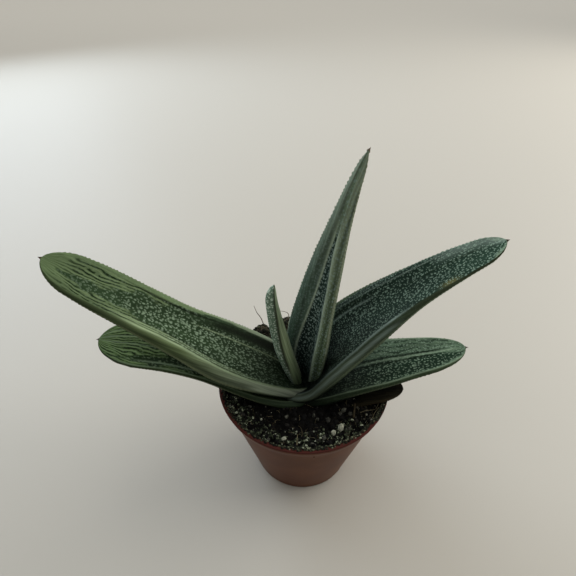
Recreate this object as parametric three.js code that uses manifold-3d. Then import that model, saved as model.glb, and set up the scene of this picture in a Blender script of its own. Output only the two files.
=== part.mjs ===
// A young gasteria with two opposite rows of tongue-shaped leaves, planted in a small plastic
// nursery pot. Millimetres, +Z up. The origin is the centre of the pot's flat bottom, and the
// two rows of leaves spread along +X and -X.

import * as THREE from 'three';
import { mergeVertices } from 'three/addons/utils/BufferGeometryUtils.js';
import Module from 'manifold-3d';

const wasm = await Module();
wasm.setup();

// Driving dimensions of the pot and soil
const potRimRadius = 41.8;
const potHeight = 58;
const potBaseRadius = 25;
const potWall = 0.9;
const potFloor = 1.6;
const floorCorner = 2; // where the inside of the wall meets the floor
const rimBandHeight = 4;
const rimBandProud = 1.2;
const cornerRadius = 2.2;
const drainHoleRadius = 2.6;
const drainHoleCircle = 16;
const drainHoleCount = 5;
const rimEdgeRadius = 0.4;
const potTaper = (potRimRadius - rimBandProud - potBaseRadius) / potHeight;
const soilDepthBelowRim = 2.2;
const soilRelief = 0.9;
const soilCorner = 2.4; // at the bottom, clear of the pot's floor corner
const fitGap = 0.3; // clear space between pieces that touch
const leafGap = 0.4; // offset of a leaf's mould, which leaves about the fit gap all round
const potSides = 56;
const soilSides = 40;

// Leaf sections are loops of twelve points: five across the spotted upper face, one on each
// margin and five round the underside.
const faceSteps = [-1, -0.5, 0, 0.5, 1];
const undersideAngles = [30, 60, 90, 120, 150];
const toothHeight = 0.45;
const tipSteps = [18, 36, 52, 66, 78]; // degrees round the blunt tip
const tipPointDrop = 0.4; // how far the point lies under the upper face
const baseRounding = 12; // length over which a leaf narrows to its base
const toothlessShare = 0.2; // share of the length, from the base, that has no teeth
const leastFlesh = 0.7; // least thickness of a blade
const leastEdge = 0.15; // least half width of the upper face

// Each leaf, from the youngest to the oldest. row is +1 for a leaf that grows towards +X and -1
// towards -X, swing turns it about Z, and spine holds four Bezier points (reach, height) of the
// line midway between its two upper edges. The lists run evenly from base to tip: half width at
// the margins, bevel from margin in to the upper edge, drop of the margin below that edge, depth
// of the channel, keel from the upper edges down to the underside, and turn of the upper face
// towards the front in degrees. hem is the share of its width that a leaf has at its very base,
// blunt is where the rounded tip starts, and point is the length of the hard point at its end.
// begin is the share where a leaf starts. A clasping base has a heel instead: it leaves the
// spine at the share join, turns at a corner that lies so far back along the spine, and ends
// at (reach, height) on the far side of the stem.
const leaves = [
  {
    name: 'leaf_young_centre', row: -1, swing: 5, stations: 22, teeth: false, blunt: 0.88,
    spine: [[0, 55], [5.5, 78], [11.5, 98], [13.3, 114.6]], hem: 0.8, point: 0.4, begin: 0,
    half: [5.4, 4.9, 4.7, 4.3, 3.6, 2.8], bevel: [3.6, 3.6, 3.3, 2.8, 2.2, 1.6],
    drop: [3.4, 3.6, 3.8, 3.1, 2, 1.2], channel: [1.5, 1.8, 1.8, 1.5, 1, 0.4],
    keel: [5, 7.2, 7.9, 7.2, 5.9, 4.5], turn: [-6, -4, -6], color: 0x51604f,
  },
  {
    name: 'leaf_tall_centre', row: 1, swing: -5, stations: 50, teeth: true, blunt: 0.93,
    spine: [[-1.2, 54.5], [-2.5, 80], [11, 153], [19.5, 173.4]], hem: 0.8, point: 1.6, begin: 0,
    half: [7.6, 10.2, 11.1, 10.4, 9.1, 7.3, 5.1, 3.2, 1.3],
    bevel: [3.6, 5.8, 6.8, 6.6, 6, 5.1, 3.6, 2.2, 0.9],
    drop: [1.2, 1, 1, 1, 1.2, 1.3, 1.3, 1.2, 0.8],
    channel: [3, 3.6, 3.8, 3.4, 2.8, 2, 1.4, 0.8, 0.3],
    keel: [6, 8, 8.6, 8.2, 7.4, 6.4, 5, 3.6, 1.6], turn: [50, 50, 50], color: 0x3a4a3a,
  },
  {
    name: 'leaf_upper_left', row: -1, swing: 0, stations: 56, teeth: true, blunt: 0.9,
    spine: [[-3.6, 60.2], [39, 77], [62.5, 98], [106.6, 129.2]], hem: 0.6, point: 1.6, begin: 0,
    half: [12.6, 17.2, 18.1, 14.7, 12.7, 11.4, 8.4], bevel: [2.5, 3.9, 5.1, 4.6, 3.3, 2.1, 1.1],
    drop: [3.4, 1.6, 2.8, 2.6, 1.3, 0.5, 0.4], channel: [6.5, 3, 1.6, 1.2, 1, 0.8, 0.5],
    keel: [9.2, 9.4, 8.6, 7.4, 6.2, 4.8, 3.2], turn: [0, 8, 14, 14], color: 0x4a5743,
  },
  {
    name: 'leaf_upper_right', row: 1, swing: 0, stations: 58, teeth: true, blunt: 0.92,
    spine: [[-1, 53], [-1.5, 76.5], [34, 112.5], [77.5, 137.3]], hem: 0.72, point: 1.6,
    heel: { join: 0.14, corner: 8, end: [-10, 59.5] },
    half: [15.5, 19.2, 18.5, 14.9, 10.7, 7.9, 5], bevel: [3.6, 4.4, 4.7, 4.2, 2.3, 0.7, 0.4],
    drop: [1, 1.9, 1.8, 1.9, 0.9, 0.6, 0.8], channel: [6, 5.5, 3, 1.6, 1.1, 0.8, 0.5],
    keel: [9.2, 9.4, 8.6, 7, 5.6, 4.4, 3], turn: [0, 12, 18, 20], color: 0x2c3a31,
  },
  {
    name: 'leaf_lower_left', row: -1, swing: 0, stations: 40, teeth: true, blunt: 0.79,
    spine: [[-3, 59.4], [26.7, 54.1], [48, 85], [94.9, 84.6]], hem: 1, point: 1.6, begin: 0.025,
    half: [17.5, 16.9, 15.4, 13.8, 13.9, 14.5, 14], bevel: [2.4, 1.9, 1.2, 0.9, 0.8, 0.8, 0.8],
    drop: [1.9, 1.9, 1.2, 0.7, 0.7, 0.6, 0.4], channel: [8, 4, 1.6, 1.2, 1, 0.8, 0.5],
    keel: [12, 9, 7.2, 6.2, 5.6, 4.8, 3.4], turn: [0, 4, 4], color: 0x32402a,
  },
  {
    name: 'leaf_lower_right', row: 1, swing: 0, stations: 36, teeth: true, blunt: 0.75,
    spine: [[5, 59.6], [22, 67], [47, 73], [75.4, 79.3]], hem: 0.95, point: 1.6,
    heel: { join: 0.05, corner: 4, end: [0.8, 57.4] },
    half: [17.3, 16.6, 15.6, 14.2, 12, 10.2, 9.6], bevel: [2.1, 1.9, 1.7, 1.5, 1.3, 1, 0.8],
    drop: [1.4, 1.2, 1, 0.9, 1, 1.2, 1], channel: [8, 4.5, 2, 1.4, 1.1, 0.8, 0.5],
    keel: [12, 9, 7.2, 6.2, 5.4, 4.4, 3.2], turn: [0, 4, 4], color: 0x3c4b3b,
  },
  {
    name: 'leaf_short_old', row: 1, swing: -12, stations: 22, teeth: false, blunt: 0.72,
    spine: [[8, 46.5], [19, 49.8], [31, 63], [48, 61.8]], hem: 0.85, point: 0.4, begin: 0,
    half: [11, 12, 11, 9.6, 8.2], bevel: [1.6, 1.4, 1.2, 1, 0.8], drop: [1.2, 1, 0.8, 0.6, 0.5],
    channel: [3, 1.6, 1, 0.8, 0.4], keel: [5.5, 4.8, 4, 3.2, 2.2], turn: [0, 0], color: 0x1c2016,
  },
];

// Stem and roots: a short stout stem under the leaves, with fleshy roots that spread from it
const stemRadius = 7;
const stemTop = 52;
const stemBottom = 36;
const rootCount = 6;
const rootRadius = 1.7;
const rootReach = 22;
const rootSeed = 7;

// The top of the soil
const grainCount = 24;
const grainSeed = 41;
const grainClearance = 6; // from the pot's wall to the grains' centres
const clumps = [ // lumps of soil that stand above the rim at the back: x, y, z, radius
  [-28, 27, 53.5, 5], [-23, 32, 58.2, 5.6], [-15.5, 34, 55.5, 5.2], [-8.4, 35.5, 59.6, 5.4],
  [-3, 35, 53.5, 4.4],
];

function randomSource(seed) {
  let state = seed;
  return () => {
    state = (state * 16807) % 2147483647;
    return state / 2147483647;
  };
}

function toSolid(geometry) {
  const plain = geometry.clone();
  plain.deleteAttribute('normal');
  plain.deleteAttribute('uv');
  const merged = mergeVertices(plain, 1e-4);
  const vertProperties = new Float32Array(merged.attributes.position.array);
  const triVerts = new Uint32Array(merged.index.array);
  return new wasm.Manifold(new wasm.Mesh({ numProp: 3, vertProperties, triVerts }));
}

function toGeometry(solid) {
  const mesh = solid.getMesh();
  const geometry = new THREE.BufferGeometry();
  geometry.setAttribute('position', new THREE.BufferAttribute(mesh.vertProperties, 3));
  geometry.setIndex(new THREE.BufferAttribute(mesh.triVerts, 1));
  return geometry;
}

function pieceMesh(name, geometry, color, roughness) {
  geometry.computeVertexNormals();
  const material = new THREE.MeshStandardMaterial({ color, roughness, metalness: 0 });
  const mesh = new THREE.Mesh(geometry, material);
  mesh.name = name;
  return mesh;
}

// A smooth curve through evenly spaced values, read at a share 0..1 of its length
function along(values, share) {
  const last = values.length - 1;
  const place = Math.min(Math.max(share, 0), 1) * last;
  const i = Math.min(Math.floor(place), last - 1);
  const t = place - i;
  const p1 = values[i];
  const p2 = values[i + 1];
  const p0 = i > 0 ? values[i - 1] : 2 * p1 - p2;
  const p3 = i < last - 1 ? values[i + 2] : 2 * p2 - p1;
  const bend = (2 * p0 - 5 * p1 + 4 * p2 - p3) * t + (3 * p1 - p0 - 3 * p2 + p3) * t * t;
  return 0.5 * (2 * p1 + (p2 - p0) * t + bend * t);
}

// The line of a leaf in (reach, height), read at a share of its spine's length
function leafLine(leaf) {
  const controls = leaf.spine.map(([reach, height]) => new THREE.Vector2(reach, height));
  const spine = new THREE.CubicBezierCurve(...controls);
  const length = spine.getLength();
  const join = leaf.heel ? leaf.heel.join : leaf.begin;
  let begin = join;
  let heel = spine;
  if (leaf.heel) {
    const joint = spine.getPointAt(join);
    const corner = joint.clone().addScaledVector(spine.getTangentAt(join), -leaf.heel.corner);
    heel = new THREE.QuadraticBezierCurve(new THREE.Vector2(...leaf.heel.end), corner, joint);
    begin = join - heel.getLength() / length;
  }
  const read = (share) => {
    const curve = share < join ? heel : spine;
    const place = share < join ? (share - begin) / (join - begin) : share;
    return { point: curve.getPointAt(place), slope: curve.getTangentAt(place) };
  };
  return { length, begin, read };
}

// Where a leaf's section stands at a share of its length, and which way it faces
function leafFrame(leaf, line, share) {
  const swing = THREE.MathUtils.degToRad(leaf.swing);
  const outward = new THREE.Vector3(leaf.row * Math.cos(swing), Math.sin(swing), 0);
  const { point, slope } = line.read(share);
  const origin = outward.clone().multiplyScalar(point.x).setZ(point.y);
  const tangent = outward.clone().multiplyScalar(slope.x).setZ(slope.y).normalize();
  const back = new THREE.Vector3(0, 0, 1).cross(outward).multiplyScalar(leaf.row).normalize();
  const upper = tangent.clone().cross(back).multiplyScalar(leaf.row).normalize();
  const turn = THREE.MathUtils.degToRad(along(leaf.turn, share));
  const across = back.clone().multiplyScalar(Math.cos(turn)).addScaledVector(upper, Math.sin(turn));
  const normal = upper.clone().multiplyScalar(Math.cos(turn)).addScaledVector(back, -Math.sin(turn));
  return { origin, tangent, across, normal };
}

// The twelve points of a section. baseRound and tipRound round off the two ends, grow offsets
// the section outwards for a mould, and a mould's channel is filled level.
function leafSection(leaf, share, baseRound, tipRound, grow, tooth) {
  const half = along(leaf.half, share) * baseRound * tipRound + grow;
  const edge = Math.max(half - along(leaf.bevel, share) * baseRound * tipRound, leastEdge);
  const drop = along(leaf.drop, share) * tipRound;
  const keel = Math.max(along(leaf.keel, share) * tipRound, leastFlesh) + grow;
  const open = Math.min(along(leaf.channel, share) * tipRound, keel - leastFlesh);
  const channel = grow > 0 ? -grow : open;
  const face = faceSteps.map((step) => [edge * step, -channel * (1 - step * step)]);
  const underside = undersideAngles.map((degrees) => {
    const angle = THREE.MathUtils.degToRad(degrees);
    return [half * Math.cos(angle), -drop - (keel - drop) * Math.sin(angle)];
  });
  return [...face, [half + tooth, -drop], ...underside, [-half - tooth, -drop]];
}

function leafShares(leaf, begin) {
  const step = (leaf.blunt - begin) / (leaf.stations - 1);
  const body = Array.from({ length: leaf.stations }, (_, i) => begin + step * i);
  const tip = tipSteps.map((degrees) => {
    return leaf.blunt + (1 - leaf.blunt) * Math.sin(THREE.MathUtils.degToRad(degrees));
  });
  return [...body, ...tip];
}

// A leaf lofted along its spine: rounded at the base, blunt at the tip with a short point
function leafGeometry(leaf, grow) {
  const line = leafLine(leaf);
  const baseShare = baseRounding / line.length;
  const positions = [];
  const indices = [];
  const shares = leafShares(leaf, line.begin);
  shares.forEach((share, ring) => {
    const fromBase = Math.min((share - line.begin) / baseShare, 1);
    const baseRound = leaf.hem + (1 - leaf.hem) * Math.sqrt(1 - (1 - fromBase) ** 2);
    const fromTip = Math.max(share - leaf.blunt, 0) / (1 - leaf.blunt);
    const tipRound = Math.sqrt(1 - fromTip ** 2);
    const inTeeth = share > toothlessShare && share < leaf.blunt && ring % 2 === 1;
    const frame = leafFrame(leaf, line, share);
    const tooth = leaf.teeth && grow === 0 && inTeeth ? toothHeight : 0;
    const section = leafSection(leaf, share, baseRound, tipRound, grow, tooth);
    section.forEach(([x, y]) => {
      const corner = frame.origin.clone();
      corner.addScaledVector(frame.across, x).addScaledVector(frame.normal, y);
      if (ring === 0) corner.addScaledVector(frame.tangent, -grow);
      positions.push(corner.x, corner.y, corner.z);
    });
  });
  const loop = faceSteps.length + undersideAngles.length + 2;
  const first = leafFrame(leaf, line, line.begin);
  const last = leafFrame(leaf, line, 1);
  const baseCentre = first.origin.clone().addScaledVector(first.tangent, -grow);
  baseCentre.addScaledVector(first.normal, -0.5 * (leaf.channel[0] + leaf.keel[0]));
  const point = last.origin.clone().addScaledVector(last.tangent, leaf.point + grow);
  point.addScaledVector(last.normal, -tipPointDrop);
  positions.push(baseCentre.x, baseCentre.y, baseCentre.z, point.x, point.y, point.z);
  const baseIndex = shares.length * loop;
  const pointIndex = baseIndex + 1;
  const lastRing = (shares.length - 1) * loop;
  const triangle = (a, b, c) => indices.push(...(leaf.row > 0 ? [a, b, c] : [a, c, b]));
  for (let ring = 0; ring < shares.length - 1; ring += 1) {
    for (let k = 0; k < loop; k += 1) {
      const a = ring * loop + k;
      const b = ring * loop + ((k + 1) % loop);
      triangle(a, a + loop, b);
      triangle(b, a + loop, b + loop);
    }
  }
  for (let k = 0; k < loop; k += 1) {
    const next = (k + 1) % loop;
    triangle(baseIndex, k, next);
    triangle(pointIndex, lastRing + next, lastRing + k);
  }
  const geometry = new THREE.BufferGeometry();
  geometry.setAttribute('position', new THREE.Float32BufferAttribute(positions, 3));
  geometry.setIndex(indices);
  return geometry;
}

function makePot() {
  const rimInner = potRimRadius - rimBandProud - potWall;
  const outer = (z) => potBaseRadius + potTaper * z;
  const corner = [0, 30, 60, 90].map((degrees) => {
    const angle = THREE.MathUtils.degToRad(degrees);
    const centre = outer(cornerRadius) - cornerRadius;
    return [centre + cornerRadius * Math.sin(angle), cornerRadius * (1 - Math.cos(angle))];
  });
  const bandFoot = potHeight - rimBandHeight;
  const profile = [
    [0, 0], ...corner,
    [outer(bandFoot - rimBandProud), bandFoot - rimBandProud],
    [outer(bandFoot) + rimBandProud, bandFoot],
    [potRimRadius, potHeight - rimEdgeRadius], [potRimRadius - rimEdgeRadius, potHeight],
    [rimInner + rimEdgeRadius, potHeight], [rimInner, potHeight - rimEdgeRadius],
    [outer(potFloor + floorCorner) - potWall, potFloor + floorCorner],
    [outer(potFloor) - potWall - 0.8 * floorCorner, potFloor],
    [0, potFloor],
  ].map(([r, z]) => new THREE.Vector2(r, z));
  const turned = new THREE.LatheGeometry(profile, potSides).rotateX(Math.PI / 2);
  let solid = toSolid(turned);
  for (let i = 0; i < drainHoleCount; i += 1) {
    const angle = (i + 0.25) * 2 * Math.PI / drainHoleCount;
    const drill = new THREE.CylinderGeometry(drainHoleRadius, drainHoleRadius, 6, 14);
    drill.rotateX(Math.PI / 2);
    drill.translate(drainHoleCircle * Math.cos(angle), drainHoleCircle * Math.sin(angle), 0);
    solid = solid.subtract(toSolid(drill));
  }
  return solid;
}

// grow offsets the stem and roots outwards, for the hole they stand in
function makeStemAndRoots(grow) {
  const random = randomSource(rootSeed);
  const radius = stemRadius + grow;
  const profile = [
    [0, stemBottom - grow], [radius * 0.7, stemBottom + 1 - grow], [radius, stemBottom + 5],
    [radius, stemTop + 4 * grow], [0, stemTop + 4 * grow],
  ].map(([r, z]) => new THREE.Vector2(r, z));
  let solid = toSolid(new THREE.LatheGeometry(profile, 16).rotateX(Math.PI / 2));
  for (let i = 0; i < rootCount; i += 1) {
    const angle = (i + 0.3 * random()) * 2 * Math.PI / rootCount;
    const reach = rootReach * (0.75 + 0.25 * random());
    const depth = 9 + 9 * random();
    const way = (r, z) => new THREE.Vector3(r * Math.cos(angle), r * Math.sin(angle), z);
    const path = new THREE.CatmullRomCurve3([
      way(2, stemBottom + 6), way(stemRadius + 2, stemBottom + 1),
      way(reach * 0.8, stemBottom - 0.4 * depth), way(reach * 0.85, stemBottom - depth - 6 - grow),
    ]);
    const shape = new THREE.Shape();
    shape.absarc(0, 0, rootRadius + grow, 0, 2 * Math.PI, false);
    const options = { steps: 7, extrudePath: path, curveSegments: 3, bevelEnabled: false };
    solid = solid.add(toSolid(new THREE.ExtrudeGeometry(shape, options)));
  }
  return solid;
}

// The soil: a turned block with an uneven top, coarse grains and lumps fused to it
function makeSoil() {
  const random = randomSource(grainSeed);
  const inner = (z) => potBaseRadius + potTaper * z - potWall - fitGap;
  const top = potHeight - soilDepthBelowRim;
  const bottom = potFloor + fitGap;
  const rings = [0.18, 0.36, 0.52, 0.66, 0.78, 0.89, 1];
  const profile = [
    [0, bottom], [inner(bottom) - 0.8 * soilCorner, bottom],
    [inner(bottom + soilCorner), bottom + soilCorner],
    ...rings.map((share) => [inner(top - soilRelief) * share, top]).reverse(),
    [0, top],
  ].map(([r, z]) => new THREE.Vector2(r, z));
  const turned = new THREE.LatheGeometry(profile, soilSides).rotateX(Math.PI / 2);
  const place = turned.attributes.position;
  for (let i = 0; i < place.count; i += 1) {
    if (place.getZ(i) > top - 0.01) {
      const x = place.getX(i);
      const y = place.getY(i);
      const wave = Math.sin(0.61 * x + 1.3) * Math.cos(0.53 * y) + 0.6 * Math.sin(1.37 * x - 0.9 * y);
      const edge = Math.hypot(x, y) / inner(top);
      place.setZ(i, top + soilRelief * (0.6 * wave - edge ** 4));
    }
  }
  let solid = toSolid(turned);
  const reach = inner(top) - grainClearance;
  for (let i = 0; i < grainCount; i += 1) {
    const angle = 2 * Math.PI * random();
    const radius = reach * Math.sqrt(random());
    const size = 1.3 + 1.5 * random();
    const grain = new THREE.IcosahedronGeometry(size, 0);
    grain.scale(1, 0.8, 0.7).rotateZ(6 * random());
    grain.translate(radius * Math.cos(angle), radius * Math.sin(angle), top - 0.1 * size);
    solid = solid.add(toSolid(grain));
  }
  const inPot = new THREE.CylinderGeometry(inner(potHeight + 10), inner(40), potHeight - 30, soilSides);
  const room = toSolid(inPot.rotateX(Math.PI / 2).translate(0, 0, 0.5 * potHeight + 25));
  clumps.forEach(([x, y, z, size]) => {
    const clump = new THREE.IcosahedronGeometry(size, 1);
    clump.scale(1, 0.75, 0.9).translate(x, y, z);
    solid = solid.add(toSolid(clump).intersect(room));
  });
  return solid;
}

const group = new THREE.Group();
const moulds = [];
for (const leaf of leaves) {
  let solid = toSolid(leafGeometry(leaf, 0));
  moulds.forEach((mould) => {
    solid = solid.subtract(mould);
  });
  moulds.push(toSolid(leafGeometry(leaf, leafGap)));
  group.add(pieceMesh(leaf.name, toGeometry(solid), leaf.color, 0.55));
}

let stem = makeStemAndRoots(0);
let soil = makeSoil().subtract(makeStemAndRoots(leafGap));
moulds.forEach((mould) => {
  stem = stem.subtract(mould);
  soil = soil.subtract(mould);
});
group.add(pieceMesh('stem_and_roots', toGeometry(stem), 0xb5a98c, 0.8));
group.add(pieceMesh('soil', toGeometry(soil), 0x1a1611, 0.95));
group.add(pieceMesh('pot', toGeometry(makePot()), 0x6f4a3c, 0.5));

export default group;
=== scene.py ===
import functools
import math
import random
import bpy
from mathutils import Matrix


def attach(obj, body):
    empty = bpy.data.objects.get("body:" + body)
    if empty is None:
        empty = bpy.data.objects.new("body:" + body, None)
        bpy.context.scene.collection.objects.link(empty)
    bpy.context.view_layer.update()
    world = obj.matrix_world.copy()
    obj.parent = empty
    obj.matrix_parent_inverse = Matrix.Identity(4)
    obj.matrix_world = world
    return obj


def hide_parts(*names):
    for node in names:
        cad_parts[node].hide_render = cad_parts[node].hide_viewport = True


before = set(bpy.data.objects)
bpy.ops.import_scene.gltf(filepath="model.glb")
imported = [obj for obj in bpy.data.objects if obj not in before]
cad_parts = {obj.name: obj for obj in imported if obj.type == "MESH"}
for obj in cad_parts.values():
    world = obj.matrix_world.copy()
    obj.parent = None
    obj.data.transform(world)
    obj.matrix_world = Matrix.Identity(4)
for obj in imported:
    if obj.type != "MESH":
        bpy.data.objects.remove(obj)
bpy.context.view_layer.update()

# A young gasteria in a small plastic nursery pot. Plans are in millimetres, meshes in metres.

from types import SimpleNamespace

import bpy
import numpy as np
from mathutils import Vector, noise

mm = 0.001

scene = bpy.context.scene
scene.view_settings.view_transform = "Standard"
bpy.ops.object.select_all(action="DESELECT")


def linearColour(hexColour):
    parts = [int(hexColour[i:i + 2], 16) / 255 for i in (1, 3, 5)]
    return [p / 12.92 if p <= 0.04045 else ((p + 0.055) / 1.055) ** 2.4 for p in parts] + [1.0]


def setSockets(node, links):
    # A link is a socket, a node (its result), a hex colour or a plain value. A pair of sockets takes
    # a pair of them.
    for socket, source in links.items():
        if isinstance(socket, tuple):
            setSockets(node, dict(zip(socket, source)))
            continue
        if isinstance(source, bpy.types.Node):
            source = source.outputs[2 if source.type == "MIX" and source.data_type == "RGBA" else 0]
        if isinstance(source, bpy.types.NodeSocket):
            node.id_data.links.new(source, node.inputs[socket])
        else:
            node.inputs[socket].default_value = linearColour(source) if isinstance(source, str) else source


def addNode(tree, kind, links={}, **settings):
    node = tree.nodes.new("ShaderNode" + kind)
    for name, value in settings.items():
        setattr(node, name, value)
    setSockets(node, links)
    return node


def startMaterial(name):
    # Also gives what adds a node to it, and its shader
    material = bpy.data.materials.new(name)
    material.use_nodes = True
    material.node_tree.nodes.clear()
    add = functools.partial(addNode, material.node_tree)
    shader = add("BsdfPrincipled")
    add("OutputMaterial", {"Surface": shader})
    return material, add, shader


def setSurface(add, shader, colour, height, values):
    # The values are the bump's strength, its depth in mm, the roughness, the specular level and the
    # index of refraction
    strength, depth, roughness, specular, refraction = values
    bump = add("Bump", {"Height": height, "Strength": strength, "Distance": depth * mm})
    setSockets(shader, {"Base Color": colour, "Normal": bump, "Roughness": roughness,
                        "Specular IOR Level": specular, "IOR": refraction})


def setRamp(node, stops):
    stops = list(stops)
    ramp = node.color_ramp
    while len(ramp.elements) < len(stops):
        ramp.elements.new(1.0)
    for element, (place, colour) in zip(ramp.elements, stops):
        element.position = place
        element.color = linearColour(colour)
    return node


def newObject(name, data):
    made = bpy.data.objects.new(name, data)
    scene.collection.objects.link(made)
    return made


def meshObject(name, corners, faces, edges=()):
    mesh = bpy.data.meshes.new(name)
    mesh.from_pydata([tuple(c) for c in np.asarray(corners) * mm], edges, faces)
    mesh.update()
    return newObject(name, mesh)


def ringFaces(rings, loop, first=0):
    # Quads between rings of points, and fans to the two end points that follow the last ring
    k = np.arange(loop)
    here, following = first + k, first + (k + 1) % loop
    rise = (np.arange(rings - 1) * loop)[:, None]
    quads = np.stack([rise + here, rise + loop + here, rise + loop + following, rise + following], -1)
    last, end = (rings - 1) * loop, np.full(loop, first + rings * loop)
    fans = [np.stack(fan, -1) for fan in ((end, here, following),
                                               (end + 1, last + following, last + here))]
    return [tuple(face) for part in (quads.reshape(-1, 4), *fans) for face in part.tolist()]


def around(radius, angle):
    return radius * math.cos(angle), radius * math.sin(angle)


def setAttribute(piece, name, values):
    attribute = piece.data.attributes.new(name, "FLOAT_VECTOR", "POINT")
    attribute.data.foreach_set("vector", np.asarray(values, np.float32).ravel())


def finishPiece(piece, material, nodes, smoothAngle=None):
    piece.data.materials.clear()  # a cut mesh has an empty slot
    piece.data.materials.append(material)
    bpy.ops.object.select_all(action="DESELECT")
    piece.select_set(True)
    bpy.context.view_layer.objects.active = piece
    if smoothAngle is None:
        bpy.ops.object.shade_smooth()
    else:
        bpy.ops.object.shade_smooth_by_angle(angle=math.radians(smoothAngle))
    piece.select_set(False)
    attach(piece, "root")
    if nodes:
        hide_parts(*nodes)


leafBlade = {
    "stationPitch": 0.34, "tipStations": 22, "tipTurn": 86, "pointStations": 7, "faceColumns": 56,
    "bevelColumns": 8, "undersideColumns": 40, "edgeCrowding": 0.4, "bevelBulge": 0.28, "bulgeOut": 0.4,
    "easing": 2, "toothPitch": 1.7, "toothHeight": 0.6, "toothLeast": 0.45, "toothSlope": 2.4,
    "toothSway": 0.25, "toothBand": 0.16, "toothlessShare": 0.2, "pointDrop": 0.4, "pointWidth": 0.8,
    "baseRounding": 12, "leastFlesh": 0.7, "leastEdge": 0.15,
    # Height, and waves with their pace along and across the leaf and their weight
    "swell": 0.2 / 2.5, "swellWaves": [(0.21, 0.3, 1), (0.13, -0.22, 1), (0.47, 0.11, 0.5)],
    # Height, and waves with their pace round the leaf, their wander, its pace and their weight
    "ridge": 0.09 / 1.7, "ridgeWaves": [(19, 0.5, 0.11, 1), (31, 0.7, 0.07, 0.7)],
}

# What a leaf has unless its own plan says otherwise
usualLeaf = {
    "swing": 0, "teeth": True, "point": 1.6, "begin": 0, "marginWide": 0.07, "quiet": 8,
    "bandStart": ([1, 1], [1, 1]), "bandDots": (0.1, 0.1), "underDots": 0.4, "stainAt": (0, 9, 1, 1),
    "stain": "#5a5a3a", "darkLine": "#1a2617", "dry": "#3a3028", "scatter": 0.9,
}
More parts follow.
